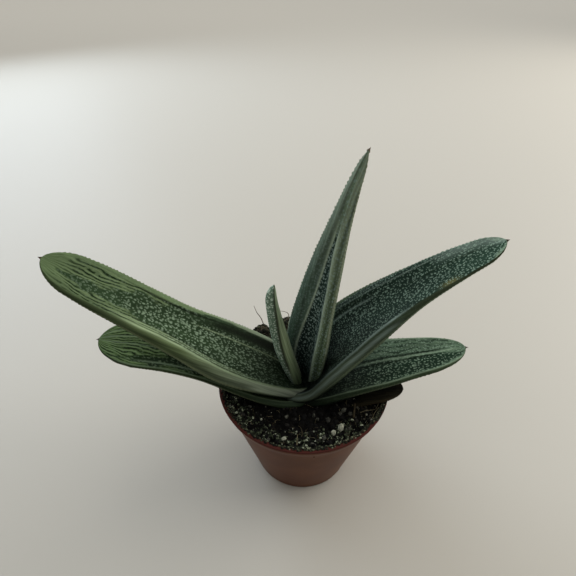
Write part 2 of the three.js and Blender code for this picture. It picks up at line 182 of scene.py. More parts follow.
# Youngest to oldest, with the part's own spines and sections. Lists run evenly from base to tip.
# The dark spotted field has a centre line and a reach to each side of it, as shares of the upper
# face's half width, front edge -1 and back edge 1. Outside the field the face is fresh green with
# dark stripes. A line runs beside the front or back edge, so many mm into the face, or along the
# face at a share of its half width, or along the front margin between its edges 1 and 2, and then
# come its width in mm, its strength, where minus is dark, and the shares of the length where it
# starts and ends. bandStart is where the plain margins start, at the front and the back, in the same
# shares. The shading list multiplies the skin's colour along the leaf. It is painted shade that darkens each
# leaf towards its base, where the other leaves shade it. On the upper right leaf it is also painted light
# that brightens the leaf towards its tip.
leafPlans = [
    {
        "name": "leaf_young_centre", "row": -1, "swing": 5, "teeth": False, "blunt": 0.88,
        "spine": [[0, 55], [5.5, 78], [11.5, 98], [13.3, 114.6]], "hem": 0.8, "point": 0.4,
        "half": [5.4, 4.9, 4.7, 4.3, 3.6, 2.8], "bevel": [3.6, 3.6, 3.3, 2.8, 2.2, 1.6],
        "drop": [3.4, 3.6, 3.8, 3.1, 2, 1.2], "channel": [1.5, 1.8, 1.8, 1.5, 1, 0.4],
        "keel": [5, 7.2, 7.9, 7.2, 5.9, 4.5], "turn": [-4, -8, -20], "marginWide": 0.16,
        "centre": [0, 0], "reach": [-1, -1], "dots": [0.2, 0.3], "looseDots": 0.3, "underDots": 1.2,
        "stripes": [0, 0], "stripeCount": 3, "tone": [0.04, 0.8, 1.2, 1.25, 1.2, 1.2],
        "lines": [("back", 0, 0.7, 0.8, 0, 1)],
        "deep": "#3b4a38", "fresh": "#75876a", "dot": "#b4c4b4", "stripe": "#3d4a36",
        "between": "#7c8c70",
        "bandFront": ["#5c6c50", "#8f9f7c", "#93a488"], "bandBack": ["#5c6c50", "#8f9f7c", "#93a488"],
        "under": "#5d7160", "lightLine": "#9aa98c", "margin": "#2c3226",
        "dotSize": (0.9, 1.3), "dotReach": (0.3, 0.52), "seed": 3,
    },
    {
        "name": "leaf_tall_centre", "row": 1, "swing": -5, "blunt": 0.93,
        "spine": [[-1.2, 54.5], [-3.6, 80], [11, 153], [19.5, 173.4]], "hem": 0.8,
        "half": [8.6, 11.7, 12.1, 10.7, 9.1, 7.3, 5.1, 3.2, 1.3],
        "bevel": [3.6, 5.6, 5.6, 4.6, 4.2, 4.4, 3.6, 2.2, 0.9],
        "drop": [1.2, 1, 1, 1, 1.2, 1.3, 1.3, 1.2, 0.8],
        "channel": [3, 3.6, 3.8, 3.4, 2.8, 2, 1.4, 0.8, 0.3],
        "keel": [6, 8, 8.6, 8.2, 7.4, 6.4, 5, 3.6, 1.6], "turn": [50, 50, 50],
        "centre": [-0.1, -0.1, -0.15, -0.25, -0.25, -0.2, -0.2],
        "reach": [1.1, 1.1, 1.05, 0.95, 0.45, -0.4, -1], "dots": [0.6, 1, 1, 1, 1, 0.9, 0.5],
        "bandStart": ([1, 1], [1, 0.9, 0.6, 0.38, 0.36, 0.5, 0.6]), "bandDots": (0.75, 0.35),
        "looseDots": 0.8, "stripes": [0, 0.1, 0.2, 0.4], "stripeCount": 2,
        "tone": [0.04, 0.5, 0.85, 1.05, 1.1, 1.1, 1.1, 1.12, 1.15], "dry": "#6f6456",
        "lines": [("front", 0, 0.9, 0.58, 0, 0.74), ("face", [0.95, 0.86, 0.57, 0.35, 0.33, 0.47, 0.57],
                                                       0.4, 0.7, 0, 0.75),
                  ("front", -2.7, 0.5, -0.6, 0.05, 0.9), ("back", -5.6, 0.5, 0.5, 0.1, 0.9)],
        "deep": "#22322e", "fresh": "#6a7b66", "dot": "#869a94", "stripe": "#3a483e",
        "between": "#75856f",
        "bandFront": ["#48583f", "#596851", "#7a8672"], "bandBack": ["#384a3e", "#4a5c50", "#768372"],
        "under": "#55644c", "lightLine": "#aebea8", "darkLine": "#26332a", "margin": "#8d967f",
        "dotSize": (1.1, 1.5), "dotReach": (0.3, 0.56), "scatter": 0.85, "seed": 5,
    },
    {
        "name": "leaf_upper_left", "row": -1, "blunt": 0.9,
        "spine": [[-3.6, 60.2], [39, 77], [62.5, 98], [106.6, 129.2]], "hem": 0.6,
        "half": [12.6, 17.2, 18.1, 14.7, 12.7, 11.4, 8.4],
        "bevel": [2.5, 3.9, 5.1, 4.6, 3.3, 2.1, 1.1],
        "drop": [3.4, 1.6, 2.8, 2.6, 1.3, 0.5, 0.4], "channel": [6.5, 3, 1.6, 1.2, 1, 0.8, 0.5],
        "keel": [9.2, 9.4, 8.6, 7.4, 6.2, 4.8, 3.2], "turn": [0, 8, 14, 14],
        "centre": [0, 0, 0, 0, 0, 0.05, 0.1, 0.02, -0.15, -0.22, 0],
        "reach": [1.5, 1.5, 1.5, 1.5, 1.4, 1.1, 0.9, 0.6, 0.35, 0.2, -0.5],
        "bandStart": ([1, 1], [1, 1, 1.4, 1.75, 1.75, 1.75]), "quiet": 0.55,
        "dots": [0.5, 0.8, 1, 1, 1, 0.9, 0.6, 0.5, 0], "looseDots": 0.3,
        "stripes": [0, 0.2, 0.4, 0.7, 1, 1, 1, 1, 0], "stripeCount": 5.2,
        "tone": [0.15, 0.3, 0.68, 0.97, 1.05, 1.02, 1, 0.97],
        # The broad dark line low on the front margin is painted shade where the margin faces down. The broad
        # dark line inside the back edge near the base is painted shade on the channel's far wall.
        "lines": [("front", 0.1, 0.55, 0.9, 0, 0.7), ("front", 1.6, 0.25, 0.7, 0.2, 0.75),
                  ("front", 2.6, 0.25, 0.6, 0.25, 0.7), ("front", 3.6, 0.3, -0.5, 0.2, 0.7),
                  ("face", 0.46, 0.3, 0.6, 0.06, 0.45), ("frontBand", 1.75, 1.7, -0.7, 0.22, 0.95),
                  ("front", 0.9, 0.3, -0.5, 0.15, 0.7), ("back", 2.4, 2.6, -0.85, -0.1, 0.42),
                  ("back", 0.7, 0.5, -0.8, 0.3, 0.7)],
        "deep": "#283923", "fresh": "#586a49", "dot": "#7d9178", "stripe": "#1b2a15",
        "between": "#6e7f5c",
        "bandFront": ["#8b9583", "#5f6e4b", "#414e33"], "bandBack": ["#7c8876", "#697858", "#596a47"],
        "under": "#3d4a36", "lightLine": "#97a985", "darkLine": "#070e03", "margin": "#5d654c",
        "dotSize": (1.2, 1.6), "dotReach": (0.3, 0.58), "scatter": 0.95, "seed": 11,
    },
    {
        "name": "leaf_upper_right", "row": 1, "blunt": 0.92,
        "spine": [[-1, 53], [-1.5, 76.5], [34, 112.5], [77.5, 137.3]], "hem": 0.72,
        "heel": {"join": 0.14, "corner": 8, "end": [-10, 59.5]},
        "half": [15.5, 19.2, 18.5, 14.9, 10.7, 7.9, 5], "bevel": [3.6, 4.4, 4.7, 4.2, 2.3, 0.7, 0.4],
        "drop": [1, 1.9, 1.8, 1.9, 0.9, 0.6, 0.8], "channel": [6, 5.5, 3, 1.6, 1.1, 0.8, 0.5],
        "keel": [9.2, 9.4, 8.6, 7, 5.6, 4.4, 3], "turn": [0, 12, 18, 20],
        "centre": [0, 0, 0, 0], "reach": [1.2, 1.2, 1.3, 1.5, 1.7, 1.8, 1.7, 0.4],
        "dots": [0.5, 0.9, 1, 1, 0.85, 0.7, 0.6], "looseDots": 0.7,
        "stripes": [0, 0, 0.2, 0.4, 0.4], "stripeCount": 3, "tone": [0.12, 0.2, 0.72, 1, 1.45, 2.1, 3.2],
        "bandStart": ([1, 1], [1, 1, 1.2, 1.6, 1.75, 1.75, 1.75]),
        "stainAt": (-0.88, 0.785, 0.16, 0.03),
        "lines": [("front", 0.2, 0.5, 0.9, 0, 0.6), ("front", -2.6, 0.8, 0.7, 0, 0.55),
                  ("front", -1.2, 0.4, -0.3, 0, 0.6), ("back", 4.2, 0.4, 0.7, 0.12, 0.5),
                  ("back", 2.0, 1.2, -0.6, 0.1, 0.5), ("back", -0.6, 0.6, -0.6, 0.1, 0.5),
                  ("back", 0.6, 0.3, 0.4, 0.1, 0.95), ("face", 0.3, 0.3, -0.6, 0.6, 0.95),
                  ("back", 1.2, 2.2, 0.3, 0.78, 1.1)],
        "deep": "#19271f", "fresh": "#445143", "dot": "#6a7d6f", "stripe": "#243224",
        "between": "#5a6955", "stain": "#4c4a2c",
        "bandFront": ["#525c4a", "#313b2b", "#2e3324"], "bandBack": ["#2c3a28", "#31422c", "#5e6c62"],
        "under": "#36432f", "lightLine": "#74837a", "darkLine": "#0f1a0e", "margin": "#5f6c56",
        "dotSize": (0.98, 1.3), "dotReach": (0.26, 0.5), "scatter": 0.8, "seed": 17,
    },
    {
        "name": "leaf_lower_left", "row": -1, "blunt": 0.79,
        "spine": [[-3, 59.4], [26.7, 54.1], [48, 85], [94.9, 84.6]], "hem": 0.8,
        "begin": 0.025, "half": [17.5, 16.9, 15.4, 13.8, 13.9, 14.5, 14],
        "bevel": [2.4, 1.9, 1.2, 0.9, 0.8, 0.8, 0.8],
        "drop": [1.9, 1.9, 1.2, 0.7, 0.7, 0.6, 0.4], "channel": [8, 4, 1.6, 1.2, 1, 0.8, 0.5],
        "keel": [12, 9, 7.2, 6.2, 5.6, 4.8, 3.4], "turn": [0, 4, 4],
        "centre": [0, -0.3, -0.6, -0.82], "reach": [1, 0.6, 0.42, 0.3, -0.4],
        "dots": [0.6, 0.8, 0.8, 0.7, 0.6, 0.2], "looseDots": 0.55, "underDots": 0.3,
        "stripes": [0.2, 0.5, 0.9, 1, 1, 0.8], "stripeCount": 7, "tone": [0.15, 0.5, 0.86, 1.1, 1.0],
        "lines": [("front", 0, 0.4, 0.7, 0, 0.9), ("front", 3.2, 0.5, 0.8, 0.3, 0.8),
                  ("back", 0, 0.4, 0.8, 0, 1), ("face", 0.25, 0.3, 0.9, 0.3, 1),
                  ("face", -0.1, 0.3, 0.7, 0.4, 1), ("face", 0.6, 0.3, 0.9, 0.4, 1)],
        "deep": "#16260f", "fresh": "#4b6138", "dot": "#6f8062", "stripe": "#0f1c09",
        "between": "#73865c",
        "bandFront": ["#3a4736", "#243019", "#1c2812"], "bandBack": ["#3d4a3a", "#3b4a36", "#3f4f3a"],
        "under": "#34422e", "lightLine": "#74866a", "margin": "#5a604a",
        "dotSize": (1.2, 1.8), "dotReach": (0.24, 0.46), "seed": 23,
    },
    {
        "name": "leaf_lower_right", "row": 1, "blunt": 0.75,
        "spine": [[5, 59.6], [22, 67], [47, 73], [75.4, 79.3]], "hem": 0.82,
        "heel": {"join": 0.05, "corner": 4, "end": [0.8, 57.4]},
        "half": [17.3, 16.6, 15.6, 14.2, 12, 10.2, 9.6], "bevel": [2.1, 1.9, 1.7, 1.5, 1.3, 1, 0.8],
        "drop": [1.4, 1.2, 1, 0.9, 1, 1.2, 1], "channel": [8, 4.5, 2, 1.4, 1.1, 0.8, 0.5],
        "keel": [12, 9, 7.2, 6.2, 5.4, 4.4, 3.2], "turn": [0, 4, 4],
        "centre": [-0.2, -0.45, -0.5], "reach": [1, 0.7, 0.6, 0.5, 0.1],
        "dots": [0.5, 0.8, 1, 1, 0.9], "looseDots": 1.0, "underDots": 0.3,
        "stripes": [0, 0.6, 0.7, 0.5], "stripeCount": 4, "tone": [0.15, 0.55, 1, 1.25, 1.3],
        "lines": [("front", 0, 0.4, 0.8, 0, 1), ("back", 0, 0.45, 0.6, 0, 1),
                  ("face", 0.19, 0.55, -1.0, 0.2, 0.85), ("face", 0.07, 0.4, 0.75, 0.1, 0.95),
                  ("face", -0.06, 0.45, -1.0, 0.2, 0.8), ("face", 0.42, 0.3, 0.5, 0.15, 0.5)],
        "deep": "#16261a", "fresh": "#4f624f", "dot": "#6c7f6b", "stripe": "#18261a",
        "between": "#586c54",
        "bandFront": ["#242f20", "#283422", "#3c4934"], "bandBack": ["#4a5a49", "#53634f", "#5f6f5a"],
        "under": "#303d2c", "lightLine": "#74856e", "darkLine": "#0c170c", "margin": "#4c5340",
        "dotSize": (1.15, 1.45), "dotReach": (0.26, 0.5), "seed": 29,
    },
    {
        "name": "leaf_short_old", "row": 1, "swing": -12, "teeth": False, "blunt": 0.72,
        "spine": [[8, 46.5], [19, 49.8], [31, 63], [48, 61.8]], "hem": 0.85, "point": 0.4,
        "half": [11, 12, 11, 9.6, 8.2], "bevel": [1.6, 1.4, 1.2, 1, 0.8],
        "drop": [1.2, 1, 0.8, 0.6, 0.5], "channel": [3, 1.6, 1, 0.8, 0.4],
        "keel": [5.5, 4.8, 4, 3.2, 2.2], "turn": [0, 0],
        "centre": [0, 0], "reach": [0.5, 0.3], "dots": [0.2, 0.3], "looseDots": 0.5, "underDots": 0.2,
        "stripes": [0.3, 0.6], "stripeCount": 4, "tone": [0.8, 1],
        "lines": [("front", 0, 0.4, 0.4, 0, 1)],
        # Its nearly black colours are partly the brown of a withering leaf and partly painted shade, as it
        # lies under the lower right leaf.
        "deep": "#14130d", "fresh": "#201d14", "dot": "#2c2c20", "stripe": "#12110b",
        "between": "#262217",
        "bandFront": ["#17150e", "#1f1c12", "#262015"], "bandBack": ["#17150e", "#1f1c12", "#262015"],
        "under": "#17150e", "lightLine": "#302c1e", "margin": "#2c2417",
        "dotSize": (1.2, 1.8), "dotReach": (0.25, 0.45), "seed": 31,
    },
]


def along(values, share):
    # A smooth curve through evenly spaced values, read at shares 0..1
    v = np.asarray(values, float)
    last = len(v) - 1
    place = np.clip(share, 0, 1) * last
    i = np.minimum(place.astype(int), last - 1)
    t = place - i
    padded = np.concatenate([[2 * v[0] - v[1]], v, [2 * v[-1] - v[-2]]])
    p0, p1, p2, p3 = (padded[i + k] for k in range(4))
    bend = (2 * p0 - 5 * p1 + 4 * p2 - p3) * t + (3 * p1 - p0 - 3 * p2 + p3) * t * t
    return 0.5 * (2 * p1 + (p2 - p0) * t + bend * t)


def smoothStep(low, high, value):
    t = np.clip((value - low) / (high - low), 0, 1)
    return t * t * (3 - 2 * t)


def measured(points):
    steps = np.linalg.norm(np.diff(points, axis=0), axis=1)
    return np.concatenate([[0], np.cumsum(steps)])


def curved(points, t):
    # A Bezier curve through three or four control points, and its slopes up to a factor
    if len(points) == 3:
        a, b, c = points
        return (1 - t) ** 2 * a + 2 * (1 - t) * t * b + t * t * c, (1 - t) * (b - a) + t * (c - b)
    a, b, c, d = points
    place = (1 - t) ** 3 * a + 3 * (1 - t) ** 2 * t * b + 3 * (1 - t) * t * t * c + t ** 3 * d
    return place, (1 - t) ** 2 * (b - a) + 2 * (1 - t) * t * (c - b) + t * t * (d - c)


def leafLine(plan):
    # Distance from the spine's foot, point and slope, all in the leaf's own plane (reach, height).
    # A clasping base adds a curved heel before the spine.
    points, slopes = curved(np.array(plan["spine"], float), np.linspace(0, 1, 1201)[:, None])
    distance = measured(points)
    total = distance[-1]
    start = plan["begin"] * total
    if "heel" in plan:
        heel = plan["heel"]
        join = int(np.searchsorted(distance, heel["join"] * total))
        way = slopes[join] / np.linalg.norm(slopes[join])
        end, joint = np.array(heel["end"], float), points[join]
        heelPoints, heelSlopes = curved((end, joint - way * heel["corner"], joint),
                                        np.linspace(0, 1, 201)[:, None])
        heelDistance = measured(heelPoints)
        heelDistance += distance[join] - heelDistance[-1]
        points = np.concatenate([heelPoints[:-1], points[join:]])
        slopes = np.concatenate([heelSlopes[:-1], slopes[join:]])
        distance = np.concatenate([heelDistance[:-1], distance[join:]])
        start = distance[0]
    slopes = slopes / np.linalg.norm(slopes, axis=1, keepdims=True)
    return {"distance": distance, "points": points, "slopes": slopes, "total": total,
            "begin": start / total}


def leafFrame(plan, line, share):
    # The section's own place and directions at each share of the length
    reach, height, slopeReach, slopeHeight = (
        np.interp(share * line["total"], line["distance"], column)
        for column in (*line["points"].T, *line["slopes"].T))
    swing = math.radians(plan["swing"])
    row = plan["row"]
    outward = np.array([row * math.cos(swing), math.sin(swing), 0.0])
    up = np.array([0.0, 0.0, 1.0])
    origin = outward * reach + up * height
    tangent = outward * slopeReach + up * slopeHeight
    tangent /= np.linalg.norm(tangent, axis=1, keepdims=True)
    back = np.cross(up, outward) * row
    upper = np.cross(tangent, back) * row
    turn = np.radians(along(plan["turn"], share))
    across = back * np.cos(turn) + upper * np.sin(turn)
    normal = upper * np.cos(turn) - back * np.sin(turn)
    return origin, tangent, across, normal


def toothRow(distance, seed):
    # Small blunt teeth, each with its own height
    size = leafBlade
    draws = np.random.default_rng(seed).uniform(size["toothLeast"], 1.0, 400)
    place = distance / size["toothPitch"] + size["toothSway"] * np.sin(distance * 0.37 + seed)
    k = np.floor(place).astype(int)
    rise = np.clip(1 - np.abs(place - k - 0.5) * size["toothSlope"], 0, 1)
    return size["toothHeight"] * draws[np.clip(k, 0, len(draws) - 1)] * rise


def leafStations(plan, line):
    # Shares of the length as a column, closer at the blunt tip, and the mm that the small end point
    # runs past it
    size = leafBlade
    begin, blunt = line["begin"], plan["blunt"]
    count = int((blunt - begin) * line["total"] / size["stationPitch"])
    body = np.linspace(begin, blunt, count, endpoint=False)
    turns = np.radians(np.linspace(0, size["tipTurn"], size["tipStations"]))
    tip = blunt + (1 - blunt) * np.sin(turns)
    beyond = np.linspace(0.15, 1, size["pointStations"] + 1)[:-1] * plan["point"]
    share = np.concatenate([body, tip, np.ones(len(beyond))])
    past = np.concatenate([np.zeros(len(body) + len(tip)), beyond])
    return share[:, None], past[:, None]


def leafMeasures(plan, line, share, past):
    # The section's sizes in mm at each station, and how far it is rounded off at either end
    size = leafBlade
    fromBase = np.clip((share - line["begin"]) * line["total"] / size["baseRounding"], 0, 1)
    baseRound = plan["hem"] + (1 - plan["hem"]) * np.sqrt(1 - (1 - fromBase) ** 2)
    fromTip = np.clip((share - plan["blunt"]) / (1 - plan["blunt"]), 0, 1)
    tipRound = np.sqrt(np.maximum(1 - fromTip ** 2, 0))
    left = 1 - past / plan["point"]
    pointHalf = size["pointWidth"] * smoothStep(0.9, 1.0, fromTip) * left ** 1.5
    half = np.hypot(along(plan["half"], share) * baseRound * tipRound, pointHalf)
    bevel = along(plan["bevel"], share) * baseRound * tipRound
    edge = np.maximum(half - bevel - 0.3 * pointHalf, size["leastEdge"] * left)
    drop = along(plan["drop"], share) * tipRound
    flesh = np.maximum(along(plan["keel"], share) * tipRound, size["leastFlesh"] * left)
    channel = np.minimum(along(plan["channel"], share) * tipRound, flesh - size["leastFlesh"] * left)
    return SimpleNamespace(half=half, bevel=bevel, edge=edge, drop=drop, flesh=flesh, channel=channel,
                           fromBase=fromBase, tipRound=tipRound, slant=np.hypot(half - edge, drop))


def leafSection(sizes):
    # Face, back bevel, underside and front bevel, and a zone that counts round them: 0 is mid face,
    # 1 the upper edge, 2 the margin and 3 the keel, and it is negative at the front
    size = leafBlade
    half, edge, drop = sizes.half, sizes.edge, sizes.drop
    even = np.linspace(-1, 1, size["faceColumns"] + 1)[None, :]
    c = (1 - size["edgeCrowding"]) * even + size["edgeCrowding"] * np.sin(even * math.pi / 2)
    face = np.stack([edge * c, -sizes.channel * (1 - c * c)], -1)
    t = (np.arange(1, size["bevelColumns"]) / size["bevelColumns"])[None, :]
    bulge = size["bevelBulge"] * sizes.bevel * t * (1 - t)
    bevelX = edge + (half - edge) * t + size["bulgeOut"] * bulge
    bevelY = -drop * t + bulge
    backBevel = np.stack([bevelX, bevelY], -1)
    frontBevel = np.stack([-bevelX, bevelY], -1)[:, ::-1]
    angle = np.radians(np.linspace(0, 180, size["undersideColumns"] + 1))[None, :]
    under = np.stack([half * np.cos(angle), -drop - (sizes.flesh - drop) * np.sin(angle)], -1)
    section = np.concatenate([face, backBevel, under, frontBevel], axis=1)
    for _ in range(size["easing"]):
        before, after = np.roll(section, 1, axis=1), np.roll(section, -1, axis=1)
        section = 0.25 * before + 0.5 * section + 0.25 * after
    quarter = angle / (math.pi / 2)
    zoneUnder = np.where(quarter <= 1, 2 + quarter, quarter - 4)
    zone = np.concatenate([np.broadcast_to(part, (len(half), part.shape[1]))
                           for part in (c, 1 + t, zoneUnder, -1 - t[:, ::-1])], axis=1)
    return section, zone


def shapeSkin(plan, sizes, section, zone, share, lengthways, acrossMm):
    # Teeth on the margins, slight swelling of the flesh and low ridges along the leaf
    size, over = leafBlade, np.abs(zone)
    if plan["teeth"]:
        blunt, toothless = plan["blunt"], size["toothlessShare"]
        inTeeth = smoothStep(toothless, toothless + 0.05, share)
        inTeeth *= 1 - smoothStep(blunt + 0.3 * (1 - blunt), 1, share)
        nearMargin = np.clip(1 - np.abs(over - 2) / size["toothBand"], 0, 1)
        for way in (-1, 1):
            tooth = toothRow(lengthways, plan["seed"] + way) * inTeeth
            section[..., 0] += np.where(np.sign(zone) == way, way * tooth * nearMargin, 0)
    phase = np.random.default_rng(plan["seed"]).uniform(0, 6.28, 5)
    swell = sum(weight * np.sin(lengthways * a + acrossMm * b + start)
                for (a, b, weight), start in zip(size["swellWaves"], phase))
    ridges = sum(weight * np.sin(zone * a + wander * np.sin(lengthways * b) + start)
                 for (a, wander, b, weight), start in zip(size["ridgeWaves"], phase[3:]))
    lift = size["swell"] * swell * np.minimum(over + 0.3, 1) * (1 - smoothStep(1.6, 2, over)) * sizes.fromBase
    lift += size["ridge"] * ridges * along(plan["stripes"], share) * (1 - smoothStep(0.9, 1.0, over))
    section[..., 1] += np.where(over <= 2, lift * sizes.tipRound, 0)


def leafMesh(plan, line, share, past, section):
    size = leafBlade
    origin, tangent, across, normal = leafFrame(plan, line, share)
    centres = origin + tangent * past - normal * size["pointDrop"] * past / plan["point"]
    corners = centres[:, None] + across[:, None] * section[..., :1] + normal[:, None] * section[..., 1:]
    rings, loop = corners.shape[:2]
    baseCentre = origin[0] - normal[0] * 0.5 * (plan["channel"][0] + plan["keel"][0])
    pointEnd = origin[-1] + tangent[-1] * plan["point"] - normal[-1] * size["pointDrop"]
    corners = np.concatenate([corners.reshape(-1, 3), [baseCentre, pointEnd]])
    faces = ringFaces(rings, loop)
    if plan["row"] < 0:
        faces = [f[::-1] for f in faces]
    words = plan["name"].split("_")
    return meshObject(words[0] + "".join(word.capitalize() for word in words[1:]), corners, faces)


leafPaint = {
    "underStart": (1.98, 2.1), "bandEase": (-0.03, 0.04), "fieldEnd": (1.5, 1.8), "lineEase": (0.04, 0.06),
    "calm": 0.85, "calmEase": 0.15, "calmUntil": (0.4, 0.6), "marginFrom": (0.1, 0.3), "bandShadingEase": 0.6,
    "stain": 0.85, "underApart": 60,
}


def drawnLines(plan, sizes, zone, share, inset):
    # How strong the light and the dark lines are at each point
    light, dark = np.zeros(zone.shape), np.zeros(zone.shape)
    elsewhere = 99
    startEase, endEase = leafPaint["lineEase"]
    for place, value, width, strength, first, last in plan["lines"]:
        if place == "face":
            gap = (zone - (along(value, share) if isinstance(value, list) else value)) * sizes.edge
        elif place == "frontBand":
            gap = np.where(zone < 0, (np.abs(zone) - value) * sizes.slant, elsewhere)
        else:
            gap = np.where((zone < 0) == (place == "front"), inset - value, elsewhere)
        run = smoothStep(first - startEase, first + startEase, share)
        run = run * (1 - smoothStep(last - endEase, last + endEase, share))
        drawn = np.exp(-(gap / width) ** 2) * run * abs(strength)
        kind = light if strength > 0 else dark
        np.maximum(kind, drawn, out=kind)
    return light, dark


def makeLeaf(plan):
    line = leafLine(plan)
    share, past = leafStations(plan, line)
    sizes = leafMeasures(plan, line, share, past)
    section, zone = leafSection(sizes)
    over, edge, slant = np.abs(zone), sizes.edge, sizes.slant
    fromMiddle = np.where(over <= 1, over * edge,
                          np.where(over <= 2, edge + (over - 1) * slant, sizes.half * 1.15 * (3 - over)))
    acrossMm = np.sign(zone) * fromMiddle
    inset = np.where(over <= 1, (1 - over) * edge, np.where(over <= 2, (1 - over) * slant, -20))
    lengthways = share * line["total"] + past
    shapeSkin(plan, sizes, section, zone, share, lengthways, acrossMm)
    piece = leafMesh(plan, line, share, past, section)

    # Painted values for the skin
    paint = leafPaint
    isUnder = smoothStep(*paint["underStart"], over)
    front, back = plan["bandStart"]
    bandStart = np.where(zone < 0, along(front, share), along(back, share))
    low, high = paint["bandEase"]
    band = smoothStep(bandStart + low, bandStart + high, over) * (1 - isUnder)
    field = np.clip(along(plan["reach"], share) - np.abs(zone - along(plan["centre"], share)), -1, 1)
    field = np.where(over > np.where(zone < 0, *paint["fieldEnd"]), -1, field)
    light, dark = drawnLines(plan, sizes, zone, share, inset)
    calm = paint["calm"] * smoothStep(plan["quiet"], plan["quiet"] + paint["calmEase"], zone)
    calm = calm * (1 - smoothStep(*paint["calmUntil"], share))
    dots = np.clip(along(plan["dots"], share), 0, 1) * (1 - calm)
    dots = dots * (1 - band * (1 - np.where(zone < 0, *plan["bandDots"])))
    stripes = np.clip(along(plan["stripes"], share), 0, 1) * (1 - smoothStep(0.9, 1.0, over))
    stainZone, stainShare, stainWide, stainLong = plan["stainAt"]
    stain = np.exp(-((zone - stainZone) / stainWide) ** 2 - ((share - stainShare) / stainLong) ** 2)
    margin = np.exp(-((over - 2) / plan["marginWide"]) ** 2) * smoothStep(*paint["marginFrom"], share)
    # Painted shade darkening the leaf towards its base, and painted light towards the upper right leaf's tip.
    # It is weaker on the margins.
    tone = along(plan["tone"], share) ** (1 - paint["bandShadingEase"] * band)
    for name, *columns in (
            ("skin", acrossMm + paint["underApart"] * (over > 2.02), lengthways, 0 * zone),
            ("zone", zone, share + past / 10, isUnder), ("paint", field, dots, stripes),
            ("trim", band, light, dark), ("finish", margin, tone, paint["stain"] * stain)):
        # The base's end point takes 0 and the tip's the last value
        spread = [np.append(np.broadcast_to(column, zone.shape).ravel(), [0, column.ravel()[-1]])
                  for column in columns]
        setAttribute(piece, name, np.stack(spread, -1))
    return piece


leafPattern = {
    "fieldShift": 0.55, "fieldNoise": 1.1, "fieldEdge": (-0.1, 0.16), "sway": 2.6, "shiver": 0.8,
    "breaks": (0.32, 0.44), "stripeWave": (0.1, 0.6), "betweenWave": (-0.5, -1.0),
    "betweenStrength": 0.8, "bandPlaces": (0.05, 0.5, 0.95), "wander": (1.2, 1.2, 0), "dotCore": 0.55,
    "paleLeast": 0.45, "dryTip": (0.995, 1.03), "dotHeight": 0.7,
    "surface": (0.4, 0.14, 0.55, 0.05, 1.42),
}


